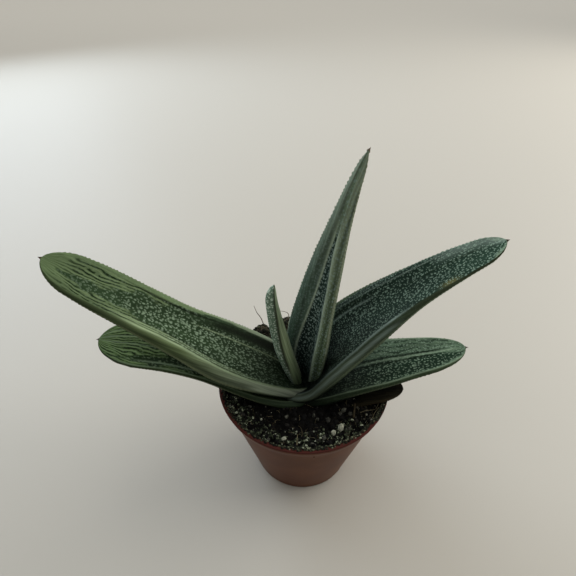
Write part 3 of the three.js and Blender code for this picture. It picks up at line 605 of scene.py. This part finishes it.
def leafSkin(plan):
    # Waxy living leaf skin, satin and slightly uneven. Raised white flecks crowd a darker field,
    # and the thick margins are plain green with fine lengthwise lines.
    material, add, shader = startMaterial("waxy leaf skin, " + plan["name"].replace("_", " "))
    pattern = leafPattern
    flat, smooth = {"noise_dimensions": "2D"}, {"interpolation_type": "SMOOTHSTEP"}
    skin, zonePlace, paint, trim, finish = (
        add("Attribute", attribute_name=name).outputs["Vector"]
        for name in ("skin", "zone", "paint", "trim", "finish"))
    (zone, share, isUnder), (field, dots, stripes), (band, light, dark), (margin, tone, stain) = (
        add("SeparateXYZ", {0: source}).outputs for source in (zonePlace, paint, trim, finish))

    # Noise with its scale across and along the leaf. On the skin a patch's size is in mm.
    noises = {}
    for name, source, scale, detail in (
            ("edge", skin, (1 / 4, 1 / 12, 1), 4.0), ("cloud", skin, (1 / 9, 1 / 24, 1), 3.0),
            ("crowd", skin, (1 / 5, 1 / 9, 1), 2.0), ("grain", skin, (1 / 0.5, 1 / 9, 1), 2.0),
            ("streak", skin, (1 / 1.1, 1 / 30, 1), 2.0), ("sway", zonePlace, (1.1, 7.0, 0), 1.0),
            ("shiver", zonePlace, (2.5, 26.0, 0), 2.0)):
        place = add("VectorMath", {0: source, 1: scale}, operation="MULTIPLY")
        noises[name] = add("TexNoise", {"Vector": place, "Scale": 1.0, "Detail": detail}, **flat)
    cloud, crowd, grain, streak = (
        add("MapRange", {0: noises[name], (1, 2): (0.3, 0.7), (3, 4): factors})
        for name, factors in (("cloud", (0.8, 1.2)), ("crowd", (0.72, 1.12)), ("grain", (0.86, 1.14)),
                              ("streak", (0.75, 1.25))))

    # Ragged dark field on fresh green
    fieldLess = add("Math", {0: field, 1: pattern["fieldShift"]}, operation="SUBTRACT")
    ragged = add("Math", {0: noises["edge"], 1: pattern["fieldNoise"], 2: fieldLess},
                 operation="MULTIPLY_ADD")
    inField = add("MapRange", {0: ragged, (1, 2): pattern["fieldEdge"]}, **smooth)
    outField = add("Math", {0: 1.0, 1: inField}, operation="SUBTRACT")

    # Wavy dark stripes with paler skin between them, which close up where the leaf narrows
    turns = add("Math", {0: noises["sway"], 1: pattern["sway"]}, operation="MULTIPLY")
    turns = add("Math", {0: noises["shiver"], 1: pattern["shiver"], 2: turns}, operation="MULTIPLY_ADD")
    turns = add("Math", {0: zone, 1: plan["stripeCount"], 2: turns}, operation="MULTIPLY_ADD")
    wave = add("Math", {0: add("Math", {0: turns, 1: 2 * math.pi}, operation="MULTIPLY")}, operation="SINE")
    broken = add("MapRange", {0: noises["shiver"], (1, 2): pattern["breaks"]}, **smooth)
    amount = add("Math", {0: stripes, 1: outField}, operation="MULTIPLY")
    striped = []
    for ends, strength in ((pattern["stripeWave"], broken),
                           (pattern["betweenWave"], pattern["betweenStrength"])):
        part = add("MapRange", {0: wave, (1, 2): ends}, **smooth)
        for factor in (strength, amount):
            part = add("Math", {0: part, 1: factor}, operation="MULTIPLY")
        striped.append(part)

    # Plain thick margins, with streaks along them
    front, back = (setRamp(add("ValToRGB", {0: share}), zip(pattern["bandPlaces"], plan[name]))
                   for name in ("bandFront", "bandBack"))
    atBack = add("Math", {0: zone, 1: 0.0}, operation="GREATER_THAN")
    bandColour = add("Mix", {0: atBack, 6: front, 7: back}, data_type="RGBA")
    bandColour = add("Mix", {0: 1.0, 6: bandColour, 7: streak}, data_type="RGBA", blend_type="MULTIPLY")

    # Flecks a little over a millimetre apart, longer along the leaf
    wide, long = plan["dotSize"]
    place = add("VectorMath", {0: skin, 1: (1 / wide, 1 / long, 1)}, operation="MULTIPLY")
    wander = add("TexNoise", {"Vector": place, "Scale": 0.5, "Detail": 1.0}, **flat)
    place = add("VectorMath", {0: wander.outputs[1], 1: pattern["wander"], 2: place},
                operation="MULTIPLY_ADD")
    cells = add("TexVoronoi", {"Vector": place, "Scale": 1.0, "Randomness": plan["scatter"]},
                voronoi_dimensions="2D")
    draws = add("SeparateColor", {0: cells.outputs["Color"]}).outputs
    reach = add("MapRange", {0: draws[0], (3, 4): plan["dotReach"]})
    reach = add("Math", {0: reach, 1: crowd}, operation="MULTIPLY")
    core = add("Math", {0: reach, 1: pattern["dotCore"]}, operation="MULTIPLY")
    dot = add("MapRange", {0: cells.outputs["Distance"], (1, 2): (reach, core)}, **smooth)
    pale = add("MapRange", {0: draws[1], 3: pattern["paleLeast"], 4: 1.0})
    crowded = add("MapRange", {0: inField, 3: plan["looseDots"], 4: 1.0})
    onFace = add("Math", {0: dots, 1: crowded}, operation="MULTIPLY")
    strength = add("Mix", {0: isUnder, 2: onFace, 3: plan["underDots"]})
    for factor in (pale, strength):
        dot = add("Math", {0: dot, 1: factor}, operation="MULTIPLY")

    # Layers of colour, from the fresh green up to the dry brown point. Among them, the painted shade and
    # light along the leaf multiply the colour.
    dry = add("MapRange", {0: share, (1, 2): pattern["dryTip"]})
    colour = plan["fresh"]
    for factor, layer in (
            (inField, plan["deep"]), (striped[0], plan["stripe"]), (striped[1], plan["between"]),
            ("multiply", cloud), (isUnder, plan["under"]), (band, bandColour), (stain, plan["stain"]),
            (dot, plan["dot"]), (dark, plan["darkLine"]), (light, plan["lightLine"]),
            (margin, plan["margin"]), ("multiply", grain), ("multiply", tone), (dry, plan["dry"])):
        if factor == "multiply":
            colour = add("Mix", {0: 1.0, 6: colour, 7: layer}, data_type="RGBA", blend_type="MULTIPLY")
        else:
            colour = add("Mix", {0: factor, 6: colour, 7: layer}, data_type="RGBA")
    height = add("Math", {0: dot, 1: pattern["dotHeight"], 2: noises["grain"]}, operation="MULTIPLY_ADD")
    setSurface(add, shader, colour, height, pattern["surface"])
    return material


for ownPlan in leafPlans:
    plan = usualLeaf | ownPlan
    finishPiece(makeLeaf(plan), leafSkin(plan), [plan["name"]])
print("leaves made")

# bottomGroove is radius and height. bandStep leads out to the band under the rim: how far over the
# band's foot the wall's radius is taken and the corner lies, and its share of the band.
potPlan = {
    "rimRadius": 41.8, "height": 58, "baseRadius": 25, "wall": 0.9, "floor": 1.6, "floorCorner": 2,
    "bandHeight": 4, "bandProud": 1.2, "corner": 2.2, "rimEdge": 0.4, "wallRings": 10, "innerRing": 30,
    "bottomGroove": [(0.4, 0), (21.0, 0), (21.4, 0.35), (22.6, 0.35), (23.0, 0)],
    "bandStep": [(-1.6, -1.6, 0), (-1, -1, 0.15), (-0.4, -0.4, 0.7), (0, 0.3, 1)], "steps": 160,
    "holeRadius": 2.6, "holeCircle": 16, "holeCount": 5, "holeSides": 32, "holeTurn": 0.035,
}


def potRadius(z):
    # Outer radius of the wall, without the band under the rim
    size = potPlan
    taper = (size["rimRadius"] - size["bandProud"] - size["baseRadius"]) / size["height"]
    return size["baseRadius"] + taper * z


def arc(x, z, radius, first, last, count):
    return [(x + radius * math.cos(a), z + radius * math.sin(a))
            for a in np.radians(np.linspace(first, last, count))]


def potProfile():
    # Radius and height, from the middle of the bottom up the outside and down the inside
    size = potPlan
    corner, edge, proud, wall = size["corner"], size["rimEdge"], size["bandProud"], size["wall"]
    bandFoot, lip = size["height"] - size["bandHeight"], size["height"] - edge
    low = bandFoot + size["bandStep"][0][1]
    innerCorner = size["floor"] + size["floorCorner"]
    return (
        size["bottomGroove"] + arc(potRadius(corner) - corner, corner, corner, -90, 0, 8)
        + [(potRadius(z), z) for z in np.linspace(corner, low, size["wallRings"] + 2)[1:-1]]
        + [(potRadius(bandFoot + at) + share * proud, bandFoot + z) for at, z, share in size["bandStep"]]
        + arc(size["rimRadius"] - edge, lip, edge, 0, 90, 5)
        + arc(size["rimRadius"] - proud - wall + edge, lip, edge, 90, 180, 5)
        + [(potRadius(z) - wall, z) for z in (size["innerRing"], innerCorner)]
        + [(potRadius(size["floor"]) - wall - 0.8 * size["floorCorner"], size["floor"]),
           (size["bottomGroove"][0][0], size["floor"])])


def makePot():
    size = potPlan
    profile = potProfile()
    pot = meshObject("potShell", [(r, 0, z) for r, z in profile], [],
                     [(i, i + 1) for i in range(len(profile) - 1)])
    bpy.context.view_layer.objects.active = pot
    pot.select_set(True)
    bpy.ops.object.mode_set(mode="EDIT")
    bpy.ops.mesh.select_all(action="SELECT")
    bpy.ops.mesh.spin(steps=size["steps"], angle=2 * math.pi, center=(0, 0, 0), axis=(0, 0, 1))
    bpy.ops.mesh.select_all(action="SELECT")
    bpy.ops.mesh.remove_doubles(threshold=0.01 * mm)
    bpy.ops.mesh.select_all(action="DESELECT")
    bpy.ops.mesh.select_non_manifold()
    bpy.ops.mesh.fill_holes(sides=0)
    bpy.ops.mesh.select_all(action="SELECT")
    bpy.ops.mesh.normals_make_consistent(inside=False)
    bpy.ops.object.mode_set(mode="OBJECT")
    for i in range(size["holeCount"]):
        x, y = around(size["holeCircle"] * mm, (i + 0.25) * 2 * math.pi / size["holeCount"])
        bpy.ops.mesh.primitive_cylinder_add(vertices=size["holeSides"], radius=size["holeRadius"] * mm,
                                            depth=6 * mm, location=(x, y, 0),
                                            rotation=(0, 0, size["holeTurn"]))
        drill = bpy.context.object
        cut = pot.modifiers.new("drainHole", "BOOLEAN")
        cut.operation = "DIFFERENCE"
        cut.object = drill
        bpy.ops.object.select_all(action="DESELECT")
        bpy.context.view_layer.objects.active = pot
        bpy.ops.object.modifier_apply(modifier=cut.name)
        bpy.data.objects.remove(drill)
    return pot


potLook = {
    "cloudScale": 60.0, "fineScale": 2500.0, "stops": [(0.35, "#583626"), (0.65, "#643f2c")],
    "rim": "#43201b", "rimHeights": (56.6, 57.6), "surface": (0.1, 0.05, 0.4, 0.06, 1.49),
}


def potPlastic():
    # Injection-moulded polypropylene, terracotta brown. The polished mould leaves it satin, with
    # a little cloudiness and dust.
    material, add, shader = startMaterial("moulded polypropylene, terracotta")
    look = potLook
    place = add("TexCoord").outputs["Object"]
    height = add("SeparateXYZ", {0: place}).outputs[2]
    cloud = add("TexNoise", {"Vector": place, "Scale": look["cloudScale"], "Detail": 3.0})
    ramp = setRamp(add("ValToRGB", {0: cloud}), look["stops"])
    # The darker red band round the lip is painted shade along its inner edge and top.
    rim = add("MapRange", {0: height, (1, 2): [h * mm for h in look["rimHeights"]]})
    colour = add("Mix", {0: rim, 6: ramp, 7: look["rim"]}, data_type="RGBA")
    fine = add("TexNoise", {"Vector": place, "Scale": look["fineScale"]})
    setSurface(add, shader, colour, fine, look["surface"])
    return material


finishPiece(makePot(), potPlastic(), ["pot"], smoothAngle=35)
print("pot made")

# A kind of lump has its width, its layer of noise and its height. banks gives how far the bed rises
# towards the wall at an angle in degrees. A clump is a centre and a radius.
soilPlan = {
    "depth": 2.2, "relief": 0.9, "gap": 0.3, "rings": 110, "sectors": 460, "bottomCorner": 2.4,
    "lumps": [(2.6, 3, 1.1), (1.1, 9, 0.6)], "rough": 0.3, "bankStart": 0.7, "edgeLean": 12, "overRim": 4,
    "banks": [(0, 0.5), (60, 0.6), (120, 0.6), (180, 1.1), (215, 1.6), (270, 1.7), (300, 1.4), (330, 0.3)],
    "clumps": [(-28, 27, 53.5, 5), (-23, 32, 58.2, 5.6), (-15.5, 34, 55.5, 5.2), (-8.4, 35.5, 59.6, 5.4),
               (-3, 35, 53.5, 4.4)],
}


def soilHeight(x, y):
    # Crumbly top: broad unevenness, lumps in two sizes and roughness, banked up to the wall
    size = soilPlan
    top = potPlan["height"] - size["depth"]
    wave = math.sin(0.61 * x + 1.3) * math.cos(0.53 * y) + 0.6 * math.sin(1.37 * x - 0.9 * y)
    lumps = sum(rise * (0.5 - noise.voronoi(Vector((x / wide, y / wide, layer)))[0][0])
                for wide, layer, rise in size["lumps"])
    lumps += size["rough"] * noise.noise(Vector((x, y, 5)) * 1.9)
    bank = np.interp(math.degrees(math.atan2(y, x)), *zip(*size["banks"]), period=360)
    toWall = smoothStep(size["bankStart"], 1, math.hypot(x, y) / (potRadius(top) - potPlan["wall"]))
    return top + 0.5 * size["relief"] * wave + lumps + float(bank * toWall)


def wallLimit(z):
    # The inside of the wall, which goes on over the rim for a while
    return potRadius(min(z, potPlan["height"] + soilPlan["overRim"])) - potPlan["wall"]


def makeSoil():
    size = soilPlan
    inset, rim = potPlan["wall"] + size["gap"], potRadius(potPlan["height"])
    reach = potRadius(potPlan["height"] - size["depth"] - size["relief"]) - inset
    turns = np.linspace(0, 2 * math.pi, size["sectors"], endpoint=False)
    corners = []
    for ring in range(1, size["rings"] + 1):
        share = ring / size["rings"]
        lean = share ** size["edgeLean"]
        for a in turns:
            # The edge stays a gap inside the wall at its own height
            x, y = around(reach * share, a)
            z = soilHeight(x, y) - 0.5 * size["relief"] * lean
            grow = 1 + lean * (min(potRadius(z), rim) - inset - reach) / reach
            corners.append((x * grow, y * grow, z))
    bottom = potPlan["floor"] + size["gap"]
    side = bottom + size["bottomCorner"]
    for radius, z in ((potRadius(side) - inset, side),
                      (potRadius(bottom) - inset - 0.8 * size["bottomCorner"], bottom)):
        corners += [(*around(radius, a), z) for a in turns]
    corners += [(0.0, 0.0, soilHeight(0, 0)), (0.0, 0.0, bottom)]
    return meshObject("soilBed", corners, ringFaces(size["rings"] + 2, size["sectors"]))


def ballShape(detail):
    bpy.ops.mesh.primitive_ico_sphere_add(subdivisions=detail, radius=1)
    ball = bpy.context.object
    shape = np.array([v.co[:] for v in ball.data.vertices])
    faces = [tuple(p.vertices) for p in ball.data.polygons]
    bpy.data.objects.remove(ball)
    return shape, faces


def crumbMesh(name, places):
    # places holds a centre, three half sizes, a turn and a shade for each crumb
    unevenness, pace, apart = 0.35, 1.9, 3.1
    shape, loops = ballShape(1)
    corners, faces, tints = [], [], []
    for i, (centre, radii, turn, shade) in enumerate(places):
        shift = Vector((i * apart, 0, 0))
        rough = np.array([1 + unevenness * noise.noise(Vector(p) * pace + shift) for p in shape])
        x, y, z = (shape * rough[:, None] * np.array(radii)).T
        c, s = math.cos(turn), math.sin(turn)
        corners.append(np.stack([c * x - s * y, s * x + c * y, z], -1) + np.array(centre))
        faces += [tuple(i * len(shape) + v for v in loop) for loop in loops]
        tints += [(shade, 0, 0)] * len(shape)
    piece = meshObject(name, np.concatenate(corners), faces)
    setAttribute(piece, "tint", tints)
    return piece


def makeClumps():
    # Lumps of old root ball, rough and crusted, kept inside the wall until they clear the rim
    shape, loops = ballShape(5)
    corners, faces = [], []
    for i, (x, y, z, radius) in enumerate(soilPlan["clumps"]):
        for p in shape:
            at = Vector(p)
            swell = 1 + 0.2 * noise.noise(at * 1.7 + Vector((i * 5, 0, 0)))
            swell += 0.16 * noise.noise(at * 4.3 + Vector((0, i * 5, 0))) + 0.07 * noise.noise(at * 11)
            spot = at * radius * 0.97 * swell + Vector((x, y, z))
            limit = wallLimit(spot.z) - soilPlan["gap"]
            away = math.hypot(spot.x, spot.y)
            if away > limit:
                spot.x *= limit / away
                spot.y *= limit / away
            corners.append(spot[:])
        faces += [tuple(i * len(shape) + v for v in loop) for loop in loops]
    return meshObject("soilClumps", corners, faces)


def tubeMesh(name, threads):
    # Each thread has its points, its radius and its shade, and thins to its far end
    sides, steps, thinning = 6, 14, 0.6
    corners, faces, tints = [], [], []
    share = np.linspace(0, 1, steps)
    turn = np.radians(np.arange(sides) * 360 / sides)[None, :, None]
    for points, radius, shade in threads:
        path = np.stack([along(column, share) for column in zip(*points)], -1)
        way = np.gradient(path, axis=0)
        side = np.cross(way, (0.31, 0.94, 0.11))
        up = np.cross(side, way)
        side, up = (v / np.linalg.norm(v, axis=1, keepdims=True) for v in (side, up))
        thick = radius * (1 - thinning * share)[:, None, None]
        rings = path[:, None] + thick * (np.cos(turn) * side[:, None] + np.sin(turn) * up[:, None])
        faces += ringFaces(steps, sides, len(corners))
        corners += rings.reshape(-1, 3).tolist() + [path[0].tolist(), path[-1].tolist()]
        tints += [(shade, 0, 0)] * (steps * sides + 2)
    piece = meshObject(name, corners, faces)
    setAttribute(piece, "tint", tints)
    return piece


soilLook = {"patchScale": 420.0, "fineScale": 1400.0, "surface": (0.8, 0.4, 0.9, 0.08, 1.5)}
crumbLook = {"fineScale": 1300.0, "mottling": (0.5, 1.4), "surface": (0.6, 0.3, 0.85, 0.12, 1.5)}


def pottingSoil(name, stops):
    # Damp peat: dark, matt and crumbly, with brown fibre and grey grit showing in places. The stops set how
    # dark it is.
    material, add, shader = startMaterial(name)
    place = add("TexCoord").outputs["Object"]
    patch = add("TexNoise", {"Vector": place, "Scale": soilLook["patchScale"], "Detail": 6.0,
                             "Roughness": 0.7})
    fine = add("TexNoise", {"Vector": place, "Scale": soilLook["fineScale"], "Detail": 5.0})
    setSurface(add, shader, setRamp(add("ValToRGB", {0: patch}), stops), fine, soilLook["surface"])
    return material


def crumbSkin(name, stops):
    # Matt and dry, each crumb or fibre with a shade of its own and a little mottling
    material, add, shader = startMaterial(name)
    tint = add("Attribute", attribute_name="tint").outputs["Vector"]
    ramp = setRamp(add("ValToRGB", {0: add("SeparateXYZ", {0: tint})}), stops)
    place = add("TexCoord").outputs["Object"]
    fine = add("TexNoise", {"Vector": place, "Scale": crumbLook["fineScale"], "Detail": 4.0})
    level = add("MapRange", {0: fine, (1, 2): (0.3, 0.7), (3, 4): crumbLook["mottling"]})
    colour = add("Mix", {0: 1.0, 6: ramp, 7: level}, data_type="RGBA", blend_type="MULTIPLY")
    setSurface(add, shader, colour, fine, crumbLook["surface"])
    return material


def finishCrumbs(piece, skin, stops, smoothAngle=None):
    finishPiece(piece, crumbSkin(skin, stops), [], smoothAngle)


# The bed's nearly black stops are the damp peat's own dark colour plus painted shade from the leaves over it.
finishPiece(makeSoil(), pottingSoil("damp peat potting mix with painted shade", [
    (0.3, "#020202"), (0.55, "#070605"), (0.68, "#12100b"), (0.76, "#26241c")]), ["soil"])
finishPiece(makeClumps(), pottingSoil("crusted old root ball", [
    (0.36, "#0b0a07"), (0.48, "#2a271e"), (0.6, "#4c463a"), (0.72, "#6f675b")]), ["soil"])

# Each group's crumbs fall between two angles and two distances, and crowd to the far one by lean.
# size is the least and the greatest half size, and fewer are large. lift is how far their centres lie
# over the bed, and a higher patch leaves wider bare places between them.
crumbPlans = {
    "peatCrumbs": {
        "count": 1700, "seed": 12, "angles": (0, 360), "reach": (1, 38.8), "lean": 0.5, "size": (0.3, 1.4),
        "rarity": 3, "lift": 0.1, "patch": -1, "skin": "crumbs of peat and bark",
        # These stops are the peat's own dark colour plus painted shade from the leaves over the soil.
        "stops": [(0, "#030303"), (0.6, "#0a0908"), (0.88, "#1d1c19"), (1, "#474740")],
    },
    "mossCrumbs": {
        "count": 3600, "seed": 14, "angles": (196, 316), "reach": (27, 39.7), "lean": 0.32,
        "size": (0.2, 0.66), "rarity": 2, "lift": 0.15, "patch": -0.02,
        "skin": "dry green crust of moss and algae",
        "stops": [(0, "#0d100a"), (0.5, "#262c1e"), (0.82, "#565d48"), (1, "#a3a893")],
    },
    "greyCrumbs": {
        "count": 1500, "seed": 15, "angles": (-42, 212), "reach": (24, 39.7), "lean": 0.5,
        "size": (0.2, 0.7), "rarity": 2, "lift": 0.15, "patch": 0.02, "skin": "dry grey crumbs",
        "stops": [(0, "#0b0b09"), (0.5, "#26251f"), (0.82, "#504e45"), (1, "#8f8e82")],
    },
    "grit": {
        "count": 150, "seed": 16, "angles": (0, 360), "reach": (16, 39), "lean": 0.4, "size": (0.2, 0.55),
        "rarity": 2, "lift": 0.2, "patch": -1, "skin": "pale grit and perlite",
        "stops": [(0, "#3a3a34"), (0.6, "#6d6d62"), (1, "#a9ab98")],
    },
}
# Larger pale grains: centre, half sizes, turn, shade
grains = [
    ((15.8, -29.6, 58.8), (1.5, 1.2, 3.3), 0.2, 1.0), ((12.5, -31.6, 57.8), (1.4, 1.1, 1.7), 0.6, 0.95),
    ((-9.4, -34.8, 58.0), (1.3, 1.0, 1.3), 0.3, 0.75), ((-19.8, -24.2, 57.4), (0.7, 0.6, 0.9), 1, 0.8),
    ((18.3, -18.9, 57.2), (1.5, 0.9, 1.7), 0.4, 0.2), ((4.2, -21.8, 57.0), (0.7, 0.6, 1.9), 0, 0.1),
    ((-8.4, -22.2, 56.8), (1.1, 0.8, 0.9), 0.7, 0.2), ((5.8, -23.6, 56.6), (0.8, 0.7, 1.1), 0, 0.0),
]
for name, plan in crumbPlans.items():
    draws = random.Random(plan["seed"])
    places = list(grains) if name == "grit" else []
    for _ in range(plan["count"]):
        angle = math.radians(draws.uniform(*plan["angles"]))
        near, far = plan["reach"]
        radius = near + (far - near) * draws.random() ** plan["lean"]
        x, y = around(radius, angle)
        if noise.noise(Vector((x, y, plan["seed"])) * 0.45) < plan["patch"]:
            continue
        least, greatest = plan["size"]
        half = least + (greatest - least) * draws.random() ** plan["rarity"]
        radii = (half * draws.uniform(0.9, 1.4), half * draws.uniform(0.7, 1), half * draws.uniform(0.6, 1))
        places.append(((x, y, soilHeight(x, y) + plan["lift"]), radii, draws.uniform(0, 6.28),
                       draws.random() ** 1.4))
    finishCrumbs(crumbMesh(name, places), plan["skin"], plan["stops"], 30)

# Crust on the clumps at the back, then crumbs spilt on the rim: how many, between which angles, how
# far out from where the spill starts, and how they crowd to its start
crustPlan = {
    "seed": 21, "onClump": 110, "rise": (-0.1, 1), "size": (0.3, 0.7), "spillSize": (0.2, 0.5),
    "spillStart": 39.5, "spills": [(900, (165, 345), 1.3, 2), (400, (322, 372), 2.1, 0.9)],
}
draws = random.Random(crustPlan["seed"])
places = []
for x, y, z, radius in soilPlan["clumps"]:
    for _ in range(crustPlan["onClump"]):
        spin, rise = draws.uniform(0, 6.28), draws.uniform(*crustPlan["rise"])
        least, more = crustPlan["size"]
        half = least + more * draws.random() ** 2
        spot = np.array([x, y, z]) + radius * np.array([*around(math.sqrt(1 - rise * rise), spin), rise])
        spot[:2] *= min(1, (wallLimit(spot[2]) - half) / np.hypot(*spot[:2]))
        places.append((tuple(spot), (half * 1.2, half, half * 0.9), spin, draws.random() ** 1.5))
for count, span, wide, lean in crustPlan["spills"]:
    for _ in range(count):
        angle, half = math.radians(draws.uniform(*span)), draws.uniform(*crustPlan["spillSize"])
        radius = crustPlan["spillStart"] + wide * draws.random() ** lean
        x, y = around(min(radius, potPlan["rimRadius"] - half), angle)
        places.append(((x, y, potPlan["height"] + 0.3 * half), (half, half * 1.3, half * 0.7), angle,
                       draws.random() ** 1.8))
finishCrumbs(crumbMesh("soilCrust", places), "crust of moss and peat", [
    (0, "#0a0b07"), (0.5, "#22241a"), (0.85, "#4c4f3c"), (1, "#787a64")], 30)

# Straw, a twig and fine dry fibres. Each thread is its points, radius and shade.
threads = [
    ([(-3.7, -38.0, 57.2), (-3.8, -36.5, 58.0), (-3.6, -34.2, 58.6), (-3.4, -32.6, 58.4)], 0.2, 0.75),
    ([(22.6, -22.3, 56.2), (22.8, -21, 58), (23.1, -19.4, 60), (23.2, -18.4, 61.4)], 0.55, 0.3),
    ([(-2.4, -34.5, 57.0), (-1.4, -32, 57.6), (-1.8, -29, 57.4), (-3, -27, 56.6)], 0.18, 0.4),
    ([(26.0, -19.6, 56.4), (28.5, -19.2, 57.3), (31, -19, 57.4), (33, -18.4, 57.0)], 0.15, 0.7),
    ([(33.4, -17.8, 56.8), (34.8, -15.8, 57.8), (35.4, -13.2, 58.2), (35.0, -11, 57.6)], 0.15, 0.7),
    ([(30.6, -24.0, 56.6), (32.0, -21.2, 57.5), (34.0, -18.6, 57.8), (35.6, -16.6, 57.2)], 0.14, 0.8),
]
fibrePlan = {
    "seed": 33, "count": 150, "atRight": (-40, 5), "atFront": (180, 340), "reach": 38, "limit": 39,
    "long": (1.5, 4.5), "thick": (0.06, 0.13), "rise": (0, 0.5, 0.5, 0),
}
draws = random.Random(fibrePlan["seed"])
for i in range(fibrePlan["count"]):
    angle = math.radians(draws.uniform(*fibrePlan["atRight" if i % 3 == 0 else "atFront"]))
    x, y = around(fibrePlan["reach"] * draws.random() ** 0.4, angle)
    heading, long = draws.uniform(0, 6.28), draws.uniform(*fibrePlan["long"])
    points = []
    for k, rise in enumerate(fibrePlan["rise"]):
        onX, onY = around(long * k / 3, heading)
        inside = min(1, fibrePlan["limit"] / math.hypot(x + onX, y + onY))
        px, py = (x + onX) * inside, (y + onY) * inside
        points.append((px, py, soilHeight(px, py) + rise))
        heading += draws.uniform(-0.5, 0.5)
    threads.append((points, draws.uniform(*fibrePlan["thick"]), 0.8 * draws.random()))
finishCrumbs(tubeMesh("soilFibres", threads), "straw and dry fibre", [
    (0, "#16130d"), (0.5, "#4a4230"), (1, "#8c8468")])

# Fine dry roots that curl up from the clumps at the back
rootThreads = [
    ([(-20.6, 33.5, 61.5), (-22.4, 35.5, 66.2), (-24.7, 37, 69.2), (-26.2, 37, 74)], 0.3, 0.6),
    ([(-7.4, 36, 63.5), (-7.4, 37, 68), (-9.3, 37, 69.8), (-12, 37, 70.4)], 0.24, 0.5),
]
finishPiece(tubeMesh("rootThreads", rootThreads), crumbSkin("dry brown roots", [
    (0, "#3f3329"), (1, "#6e5f50")]), [])

# A speck of soil stuck to the front of the pot
finishCrumbs(crumbMesh("soilSpeck", [((3.85, -38.1, 49.5), (0.35, 0.2, 0.5), 0.1, 0.1)]),
             "dark speck of soil", [(0, "#1c120c"), (1, "#2c2018")])
print("soil made")

# Pale, dry, corky skin. It is hidden in the soil.
stemSkin, add, shader = startMaterial("pale fibrous stem and roots")
mottle = add("TexNoise", {"Vector": add("TexCoord").outputs["Object"], "Scale": 300.0})
ramp = setRamp(add("ValToRGB", {0: mottle}), [(0.3, "#8a7755"), (0.7, "#b3a380")])
setSockets(shader, {"Base Color": ramp, "Roughness": 0.8})
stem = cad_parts["stem_and_roots"]
stem.data.materials.clear()
stem.data.materials.append(stemSkin)

bpy.ops.mesh.primitive_plane_add(size=14, location=(0, 0, 0))
floor = bpy.context.object
floor.name = "floor"
floorPaint, add, shader = startMaterial("pale matt table top")
setSockets(shader, {"Base Color": "#b6b2a9", "Roughness": 0.55})
floor.data.materials.append(floorPaint)
floor.select_set(False)

world = bpy.data.worlds.new("soft room light")
scene.world = world
world.use_nodes = True
add = functools.partial(addNode, world.node_tree)
depth = add("SeparateXYZ", {0: add("TexCoord").outputs["Generated"]}).outputs[1]
level = add("MapRange", {0: depth, (1, 2): (-0.8, 0.8), (3, 4): (0.25, 0.7)})
setSockets(world.node_tree.nodes["Background"], {"Color": "#f1f1ec", "Strength": level})

# Place, target, width and height in metres, power and colour
lights = {
    "windowLight": ((1.3, 0.45, 0.75), (0, 0, 0.05), 1.4, 1.1, 17, (1.0, 0.965, 0.9)),
    "skyLight": ((-0.75, 0.8, 0.55), (-0.2, 0.2, 0), 0.8, 0.7, 6.3, (0.74, 0.86, 1.0)),
    "ceilingLight": ((-0.2, -0.3, 1.6), (0, 0, 0.05), 2.2, 2.0, 7.2, (1.0, 0.99, 0.97)),
    "farFloorLight": ((0, 3.3, 1.4), (0, 3.3, 0), 7, 3.8, 55, (1.0, 0.98, 0.94)),
}
for name, (place, target, width, height, power, colour) in lights.items():
    data = bpy.data.lights.new(name, "AREA")
    data.shape = "RECTANGLE"
    data.size, data.size_y = width, height
    data.energy = power
    data.color = colour
    light = newObject(name, data)
    light.visible_camera = False
    light.location = place
    light.rotation_euler = (Vector(target) - Vector(place)).to_track_quat("-Z", "Y").to_euler()

# Place in mm, degrees below the horizon, lens and sensor width in mm
cameraPlan = {"place": (-7.65, -148.93, 226.75), "tilt": 37.1, "lens": 27.69, "sensor": 36}
camera = newObject("camera", bpy.data.cameras.new("camera"))
camera.location = [v * mm for v in cameraPlan["place"]]
camera.rotation_euler = (math.radians(90 - cameraPlan["tilt"]), 0, 0)
camera.data.sensor_width = cameraPlan["sensor"]
camera.data.lens = cameraPlan["lens"]
camera.data.clip_start = 0.01
scene.camera = camera

print("scene ready")
